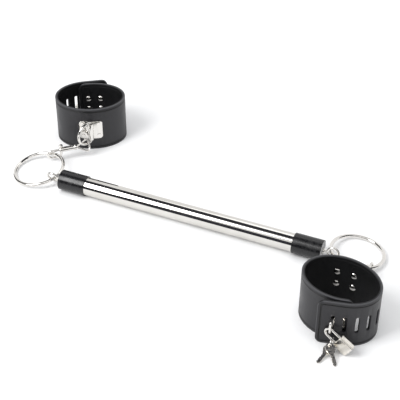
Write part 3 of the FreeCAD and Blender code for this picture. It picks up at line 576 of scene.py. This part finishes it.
@dataclass(frozen=True)
class WristCuff:
    """One wrapped cuff: two plies of leather, the D-ring's plate, the lock staple and their rivets."""

    side: Side
    line: StrapLine
    heading: float
    height: float = 54.0 * MM
    corner: float = 7.0 * MM
    crease_in: float = 2.8 * MM
    crease_width: float = 0.5 * MM
    crease_depth: float = 0.5 * MM
    edge_round: float = 0.32 * MM
    slot_marks: tuple[float, ...] = tuple((15.2 + 11.4 * i) * MM for i in range(5))
    slot_size: tuple[float, float] = (3.6 * MM, 20.0 * MM)
    plate_mark: float = 124.6 * MM
    plate_rivets: tuple[float, float] = (17.2 * MM, 15.4 * MM)
    staple_rivets: tuple[float, float] = (14.0 * MM, 14.0 * MM)
    rivet_radius: float = 1.52 * MM
    dome_radius: float = 3.62 * MM
    plate_size: tuple[float, float] = (25.5 * MM, 23.5 * MM)
    plate_corner: float = 3.2 * MM
    knuckle_out: float = 4.7 * MM
    knuckle_size: tuple[float, float, float] = (3.1 * MM, 1.56 * MM, 21.6 * MM)
    plate_faces: tuple[float, float] = (-1.52 * MM, -2.5 * MM)
    tuck_reach: float = 60.0 * MM
    fold_step: float = 1.6 * MM
    punch_past: float = 1.0 * MM
    punch_facets: int = 28
    knuckle_facets: int = 56
    corner_steps: int = 10
    plate_corner_steps: int = 8

    @property
    def plies(self) -> tuple[Ply, Ply]:
        """The outer leather and its lining."""
        name = self.side.value
        return (Ply(f"Cuff_leather_{name}", f"cuff_leather_{name}", "leather_outer", -1.5 * MM, 0.3 * MM,
                    Face.OUTSIDE),
                Ply(f"Cuff_lining_{name}", f"cuff_lining_{name}", "leather_lining", 0.3 * MM, 1.5 * MM,
                    Face.INSIDE))

    @property
    def body(self) -> str:
        """The CAD body that the cuff rides on."""
        return f"cuff_{self.side.value}"

    def place(self) -> Matrix:
        """The cuff's own frame in the set, found from the D-ring's pivot."""
        turn = Matrix.Rotation(math.radians(self.heading), 4, "Z")
        pivot = joint_place(f"cuff_swing_{self.side.value}")
        knuckle = turn @ self.line.place(self.plate_mark, -self.knuckle_out, 0.0)
        return Matrix.Translation((pivot.x - knuckle.x, pivot.y - knuckle.y, 0.0)) @ turn

    def build(self, finishes: Finishes) -> None:
        """Builds both plies and dresses the cuff's metal."""
        place = self.place()
        for ply in self.plies:
            piece = self.flat_ply(ply)
            self.cut_holes(piece, ply)
            self.fold(piece, place, 0.0, self.line.length)
            self.hand_over(piece, ply.node, ply.slot, finishes)
        self.hand_over(self.hinge_plate(place), f"d_plate_{self.side.value}", "nickel", finishes)
        metal = tuple((node, "nickel") for node in ("lock_staple", "d_plate_rivets", "staple_rivets"))
        finishes.dress_side(self.side, metal)

    def hand_over(self, piece: bpy.types.Object, node: str, slot: str, finishes: Finishes) -> None:
        """Gives a piece its finish, lets it ride on the cuff and stand for its CAD node."""
        finishes.give(piece, slot)
        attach(piece, self.body)
        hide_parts(node)
        LOG.info("built %s, %d faces", piece.name, len(piece.data.polygons))

    def hinge_plate(self, place: Matrix) -> bpy.types.Object:
        """The D-ring's plate: two leaves with round corners, and the knuckle that its bar turns in."""
        width, height = self.plate_size
        seat, face = self.plate_faces
        Bench.clear()
        bpy.ops.mesh.primitive_cube_add(size=1.0)
        plate = Bench.started(f"Hinge_plate_{self.side.value}")
        bpy.ops.transform.resize(value=(width, seat - face, height))
        bpy.ops.transform.translate(value=(self.plate_mark, (seat + face) / 2, self.height / 2))
        Bench.pick(plate, "EDGE", lambda edge: self.runs_through(edge, seat - face))
        bpy.ops.mesh.bevel(offset=self.plate_corner, segments=self.plate_corner_steps, affect="EDGES")
        bpy.ops.object.mode_set(mode="OBJECT")
        Bench.round_edges(plate, 0.28 * MM, 3)
        self.fold(plate, place, self.plate_mark - width / 2, self.plate_mark + width / 2)
        piece = Bench.join([plate, self.knuckle()])
        Bench.smooth(piece, 35.0)
        return piece

    def knuckle(self) -> bpy.types.Object:
        """The upright tube on the D-ring's bar."""
        radius, bore, length = self.knuckle_size
        pivot = joint_place(f"cuff_swing_{self.side.value}")
        spot = (pivot.x, pivot.y, self.height / 2)
        tubes = []
        for size, depth in ((radius, length), (bore, length * 2)):
            Bench.clear()
            bpy.ops.mesh.primitive_cylinder_add(vertices=self.knuckle_facets, radius=size, depth=depth,
                                                location=spot)
            Bench.settle()
            tubes.append(bpy.context.object)
        outer, inner = tubes
        Bench.cut(outer, inner)
        Bench.round_edges(outer, 0.3 * MM, 3)
        return outer

    def flat_ply(self, ply: Ply) -> bpy.types.Object:
        """The ply laid flat: X along the strap, Y inwards and Z up, with round corners and a crease line."""
        length = self.line.length
        Bench.clear()
        bpy.ops.mesh.primitive_cube_add(size=1.0)
        piece = Bench.started(ply.name)
        bpy.ops.transform.resize(value=(length, ply.thickness, self.height))
        bpy.ops.transform.translate(value=(length / 2, (ply.outside + ply.inside) / 2, self.height / 2))
        Bench.pick(piece, "EDGE", lambda edge: self.runs_through(edge, ply.thickness))
        bpy.ops.mesh.bevel(offset=self.corner, segments=self.corner_steps, affect="EDGES")
        Bench.pick(piece, "FACE", lambda one: one.normal.y * ply.face.value > 0.9)
        bpy.ops.mesh.inset(thickness=self.crease_in)
        bpy.ops.mesh.inset(thickness=self.crease_width, depth=-self.crease_depth)
        bpy.ops.mesh.inset(thickness=self.crease_width, depth=self.crease_depth)
        bpy.ops.object.mode_set(mode="OBJECT")
        return piece

    @staticmethod
    def runs_through(edge: bmesh.types.BMEdge, thickness: float) -> bool:
        """Whether an edge of a flat piece runs through its thickness."""
        return abs(edge.verts[0].co.y - edge.verts[1].co.y) > thickness / 2

    def peg(self, mark: float, height: float, radius: float, near: float, far: float,
            reach: float = 0.0) -> bpy.types.Object:
        """A punch across the strap: round, or long with round ends.

        Args:
            mark: Distance along the strap.
            height: Height of its middle.
            radius: Its radius, or half its width.
            near: Where it starts, inside the strap's middle line.
            far: Where it ends.
            reach: How far each half of a long punch is drawn up and down from the middle.

        Returns:
            The punch as an object.
        """
        Bench.clear()
        bpy.ops.mesh.primitive_cylinder_add(vertices=self.punch_facets, radius=radius, depth=far - near,
                                            location=(mark, (near + far) / 2, height),
                                            rotation=(math.pi / 2, 0, 0))
        Bench.settle()
        punch = Bench.started("Punch")
        if reach:
            for way in (1.0, -1.0):
                Bench.pick(punch, "VERT", lambda one: (one.co.z - height) * way > radius * 0.02)
                bpy.ops.transform.translate(value=(0.0, 0.0, way * reach))
        bpy.ops.object.mode_set(mode="OBJECT")
        return punch

    def cut_holes(self, piece: bpy.types.Object, ply: Ply) -> None:
        """Punches the lock slots and the rivet holes, then rounds every cut edge a little."""
        width, height = self.slot_size
        near, far = ply.outside - self.punch_past, ply.inside + self.punch_past
        punches = [self.peg(mark, self.height / 2, width / 2, near, far, (height - width) / 2)
                   for mark in self.slot_marks]
        radius = self.dome_radius if ply.face is Face.INSIDE else self.rivet_radius
        patterns = ((self.plate_mark, self.plate_rivets), (self.staple_mark, self.staple_rivets))
        for mark, (across, up) in patterns:
            for x in (-across / 2, across / 2):
                for z in (-up / 2, up / 2):
                    punches.append(self.peg(mark + x, self.height / 2 + z, radius, near, far))
        punch = Bench.join(punches)
        Bench.cut(piece, punch)
        Bench.round_edges(piece, self.edge_round, 2)

    @property
    def staple_mark(self) -> float:
        """Where the staple's plate sits, facing the first slot through the flap."""
        slot = self.line.point(self.slot_marks[0])
        return self.line.facing(slot, self.line.length - self.tuck_reach, self.line.length)

    def fold(self, piece: bpy.types.Object, place: Matrix, first: float, last: float) -> None:
        """Wraps a flat piece round the cuff's line, keeping its flat pattern as the UV map.

        Args:
            piece: The flat piece: X along the strap, Y inwards and Z up.
            place: The cuff's own frame in the set.
            first: Distance along the strap where the piece starts.
            last: Distance where it ends.
        """
        Bench.take(piece)
        bpy.ops.object.mode_set(mode="EDIT")
        for i in range(1, math.ceil((last - first) / self.fold_step)):
            bpy.ops.mesh.select_all(action="SELECT")
            bpy.ops.mesh.bisect(plane_co=(first + i * self.fold_step, 0.0, 0.0),
                                plane_no=(1.0, 0.0, 0.0))
        bpy.ops.object.mode_set(mode="OBJECT")
        mesh = piece.data
        while mesh.uv_layers:
            mesh.uv_layers.remove(mesh.uv_layers[0])
        pattern = mesh.uv_layers.new(name="Strap")
        for loop in mesh.loops:
            flat = mesh.vertices[loop.vertex_index].co
            pattern.data[loop.index].uv = (flat.x, flat.z)
        for vertex in mesh.vertices:
            vertex.co = place @ self.line.place(vertex.co.x, vertex.co.y, vertex.co.z)
        mesh.update()
        Bench.smooth(piece)


# ---- metal --------------------------------------------------------------------------------------
@dataclass(frozen=True)
class SpreaderBar:
    """The chrome tube with its sleeves, plugs, eye bolts and their nuts."""

    slots: Slots = (("end_sleeve", "black_sleeve"), ("end_plug", "plug_grey"),
                    ("eye_bolt", "nickel"), ("lock_nut", "nickel"))

    def build(self, finishes: Finishes) -> None:
        """Dresses the bar's nodes."""
        finishes.dress("bar_tube", "polished_chrome")
        for side in Side:
            finishes.dress_side(side, self.slots)


@dataclass(frozen=True)
class BoltSpring:
    """The coil spring behind a snap hook's bolt; the real one shortens as the bolt slides back, this one
    keeps its length at rest.
    """

    side: Side
    coil_radius: float = 1.065 * MM
    wire_radius: float = 0.17 * MM
    turns: int = 6
    wire_corners: int = 10
    steps: int = 24

    def build(self, finishes: Finishes) -> None:
        """Winds the spring along the bolt's path, in the place of its node."""
        name = f"bolt_slide_{self.side.value}"
        joint = joint_record(name)
        node = f"bolt_spring_{self.side.value}"
        axis = Vector(joint["axis"]).normalized()
        reach = [axis.dot(vertex.co) for vertex in frame["nodes"][node].data.vertices]
        middle = box_middle(node)
        start, end = (middle + axis * (limit - axis.dot(middle)) for limit in (min(reach), max(reach)))
        length = (end - start).length
        spring = self.wind(f"Bolt_spring_{self.side.value}", length)
        turn = axis.to_track_quat("Z", "Y").to_matrix().to_4x4()
        spring.matrix_world = Matrix.Translation(start) @ turn
        Bench.take(spring)
        Bench.settle()
        finishes.give(spring, "spring_steel")
        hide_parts(node)
        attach(spring, f"snap_{self.side.value}")
        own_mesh(spring)
        LOG.info("built %s, %d faces", spring.name, len(spring.data.polygons))

    def wind(self, name: str, length: float) -> bpy.types.Object:
        """Winds a coil of the given length up from the origin.

        Args:
            name: The piece's name.
            length: The coil's height over its wire.

        Returns:
            The coil, standing on Z.
        """
        Bench.clear()
        bpy.ops.mesh.primitive_circle_add(vertices=self.wire_corners, radius=self.wire_radius,
                                          rotation=(math.radians(90), 0.0, 0.0))
        coil = Bench.started(name)
        bpy.ops.object.mode_set(mode="OBJECT")
        coil.location = (self.coil_radius, 0.0, self.wire_radius)
        Bench.settle()
        Bench.modify(coil, "SCREW", axis="Z", angle=math.tau, iterations=self.turns, steps=self.steps,
                     render_steps=self.steps, screw_offset=(length - 2 * self.wire_radius) / self.turns)
        bpy.ops.object.mode_set(mode="EDIT")
        bpy.ops.mesh.select_all(action="SELECT")
        bpy.ops.mesh.remove_doubles(threshold=0.0001 * MM)
        bpy.ops.mesh.fill_holes(sides=0)
        bpy.ops.mesh.select_all(action="SELECT")
        bpy.ops.mesh.normals_make_consistent(inside=False)
        bpy.ops.object.mode_set(mode="OBJECT")
        Bench.smooth(coil)
        return coil


@dataclass(frozen=True)
class LinkChain:
    """The O-ring, snap hook, swivel bail and D-ring of one side."""

    side: Side
    slots: Slots = (("o_ring", "nickel"), ("hook_body", "nickel"), ("hook_bolt", "nickel"),
                    ("swivel_bail", "nickel"), ("d_ring", "nickel"))

    def build(self, finishes: Finishes) -> None:
        """Dresses the chain's nodes."""
        finishes.dress_side(self.side, self.slots)


@dataclass(frozen=True)
class Padlock:
    """A small padlock with its shackle, cylinder, key ring and two keys."""

    side: Side
    slots: Slots = (("lock_body", "brushed_nickel"), ("shackle", "nickel"),
                    ("lock_cylinder", "brushed_nickel"), ("key_ring", "nickel"),
                    ("key_a", "brushed_nickel"), ("key_b", "brushed_nickel"))

    def build(self, finishes: Finishes) -> None:
        """Dresses the padlock's nodes."""
        finishes.dress_side(self.side, self.slots)


# ---- studio -------------------------------------------------------------------------------------
@dataclass(frozen=True)
class Card:
    """A flat card that only shows in the metal.

    Its place is where it stands from the bar's middle, and its size is its width and height.
    """

    name: str
    place: tuple[float, float, float]
    size: tuple[float, float]
    colour: Colour = (0.035, 0.035, 0.042)


@dataclass(frozen=True)
class Lamp:
    """One soft lamp, aimed at the bar."""

    name: str
    place: tuple[float, float, float]
    size: tuple[float, float]
    watts: float


@dataclass(frozen=True)
class Studio:
    """Pale floor, white surroundings, soft lamps, dark cards that the chrome mirrors, and the camera."""

    floor_size: float = 14.0
    floor_colour: Colour = (0.96, 0.96, 0.965)
    floor_shade: float = 0.985
    fill: float = 0.68
    fill_colour: Colour = (0.98, 0.99, 1.0)
    cards: tuple[Card, ...] = (Card("Front_card", (0.0, -1.6, 0.50), (5.0, 1.04)),
                               Card("Top_card", (0.0, 0.18, 1.55), (5.0, 1.06)),
                               Card("Left_card", (-2.2, 0.0, 0.85), (1.75, 3.2)),
                               Card("Right_card", (2.2, 0.0, 0.85), (1.75, 3.2)))
    lamps: tuple[Lamp, ...] = (Lamp("Key_lamp", (-0.75, -0.86, 1.23), (0.75, 1.1), 19.0),
                               Lamp("Overhead_lamp", (0.25, 0.30, 2.1), (3.0, 2.2), 13.0))
    azimuth: float = 22.46
    elevation: float = 39.65
    roll: float = 0.26
    distance: float = 1250.88 * MM
    lens: float = 103.249
    aim: tuple[float, float] = (-1.61 * MM, 38.31 * MM)

    def build(self) -> None:
        """Sets up the floor, the surroundings, the lamps, the cards and the camera."""
        bpy.context.scene.view_settings.view_transform = "Standard"
        middle = box_middle("bar_tube")
        self.floor()
        self.surroundings()
        for lamp in self.lamps:
            self.lamp(lamp, middle)
        for card in self.cards:
            self.card(card, middle)
        self.camera(middle)

    def floor(self) -> None:
        """A pale floor with a faint unevenness."""
        Bench.clear()
        bpy.ops.mesh.primitive_plane_add(size=self.floor_size, location=(0.0, 0.0, -0.05 * MM))
        floor = bpy.context.object
        floor.name = "Floor"
        sheet = FinishSheet("Floor_paper", self.floor_colour, 0.0, 0.9)
        sheet.shader.inputs["Specular IOR Level"].default_value = 0.1
        darker = tuple(part * self.floor_shade for part in self.floor_colour)
        tone = sheet.blend(sheet.noise(3.0), self.floor_colour, darker)
        floor.data.materials.append(sheet.finish(Base_Color=tone))

    def surroundings(self) -> None:
        """White all round for the camera and for mirrors, and a plainer fill light for everything else."""
        world = bpy.data.worlds.new("Studio")
        world.use_nodes = True
        bpy.context.scene.world = world
        tree = world.node_tree
        tree.nodes.clear()
        rays = tree.nodes.new("ShaderNodeLightPath")
        white, fill = tree.nodes.new("ShaderNodeBackground"), tree.nodes.new("ShaderNodeBackground")
        white.inputs["Strength"].default_value = 1.0
        white.inputs["Color"].default_value = (1.0, 1.0, 1.0, 1.0)
        fill.inputs["Strength"].default_value = self.fill
        fill.inputs["Color"].default_value = (*self.fill_colour, 1.0)
        seen = rays.outputs["Is Camera Ray"]
        for name in ("Is Glossy Ray", "Is Transmission Ray"):
            either = tree.nodes.new("ShaderNodeMath")
            either.operation = "MAXIMUM"
            tree.links.new(seen, either.inputs[0])
            tree.links.new(rays.outputs[name], either.inputs[1])
            seen = either.outputs["Value"]
        mix, out = tree.nodes.new("ShaderNodeMixShader"), tree.nodes.new("ShaderNodeOutputWorld")
        tree.links.new(seen, mix.inputs["Fac"])
        tree.links.new(fill.outputs["Background"], mix.inputs[1])
        tree.links.new(white.outputs["Background"], mix.inputs[2])
        tree.links.new(mix.outputs["Shader"], out.inputs["Surface"])

    def lamp(self, lamp: Lamp, middle: Vector) -> None:
        """Adds one rectangular lamp, aimed at the bar."""
        data = bpy.data.lights.new(lamp.name, "AREA")
        data.shape = "RECTANGLE"
        data.size, data.size_y = lamp.size
        data.energy = lamp.watts
        obj = bpy.data.objects.new(lamp.name, data)
        bpy.context.scene.collection.objects.link(obj)
        obj.location = middle + Vector(lamp.place)
        obj.rotation_euler = (middle - obj.location).to_track_quat("-Z", "Y").to_euler()

    def card(self, card: Card, middle: Vector) -> None:
        """Adds one card, facing the bar, that only mirrors see."""
        Bench.clear()
        bpy.ops.mesh.primitive_plane_add(size=1.0)
        obj = Bench.started(card.name)
        bpy.ops.transform.resize(value=(*card.size, 1.0))
        bpy.ops.object.mode_set(mode="OBJECT")
        place = Vector(card.place)
        turn = place.to_track_quat("Z", "Y").to_matrix().to_4x4()
        obj.data.transform(Matrix.Translation(middle + place) @ turn)
        sheet = FinishSheet(card.name, card.colour, 0.0, 0.9)
        sheet.shader.inputs["Specular IOR Level"].default_value = 0.0
        obj.data.materials.append(sheet.material)
        obj.visible_camera = False
        obj.visible_diffuse = False
        obj.visible_shadow = False
        obj.visible_transmission = False

    def camera(self, middle: Vector) -> None:
        """Adds the camera, at its angle round the point that it looks at."""
        turn, rise = math.radians(self.azimuth), math.radians(self.elevation)
        back = Vector((math.sin(turn) * math.cos(rise), -math.cos(turn) * math.cos(rise), math.sin(rise)))
        right = Vector((math.cos(turn), math.sin(turn), 0.0))
        up = back.cross(right)
        lean = math.radians(self.roll)
        right, up = (right * math.cos(lean) + up * math.sin(lean),
                     up * math.cos(lean) - right * math.sin(lean))
        target = Vector((middle.x + self.aim[0], middle.y + self.aim[1], 0.0))
        data = bpy.data.cameras.new("Camera")
        data.lens = self.lens
        data.sensor_width = 36.0
        data.clip_start, data.clip_end = 0.01, 60.0
        obj = bpy.data.objects.new("Camera", data)
        bpy.context.scene.collection.objects.link(obj)
        axes = Matrix((right, up, back)).transposed().to_4x4()
        obj.matrix_world = Matrix.Translation(target + back * self.distance) @ axes
        bpy.context.scene.camera = obj


# ---- the set ------------------------------------------------------------------------------------
def clear_startup(kept: Iterable[bpy.types.Object]) -> None:
    """Removes whatever stood in the scene before the frame was loaded."""
    kept = set(kept)
    for obj in list(bpy.data.objects):
        if obj not in kept:
            bpy.data.objects.remove(obj)


def main() -> None:
    """Builds the set, piece by piece, and its studio."""
    logging.basicConfig(level=logging.INFO, format="%(message)s")
    clear_startup([*frame["nodes"].values(), *frame["bodies"].values()])
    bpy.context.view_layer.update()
    cuffs = (WristCuff(Side.LEFT, StrapLine(38.5 * MM, 28.3 * MM, -78.0), 203.6),
             WristCuff(Side.RIGHT, StrapLine(38.9 * MM, 30.0 * MM, -60.0), -12.0))
    finishes = Finishes(cuffs[0].height)
    SpreaderBar().build(finishes)
    for cuff in cuffs:
        LinkChain(cuff.side).build(finishes)
        BoltSpring(cuff.side).build(finishes)
        cuff.build(finishes)
        Padlock(cuff.side).build(finishes)
    Studio().build()


if __name__ == "__main__":
    main()
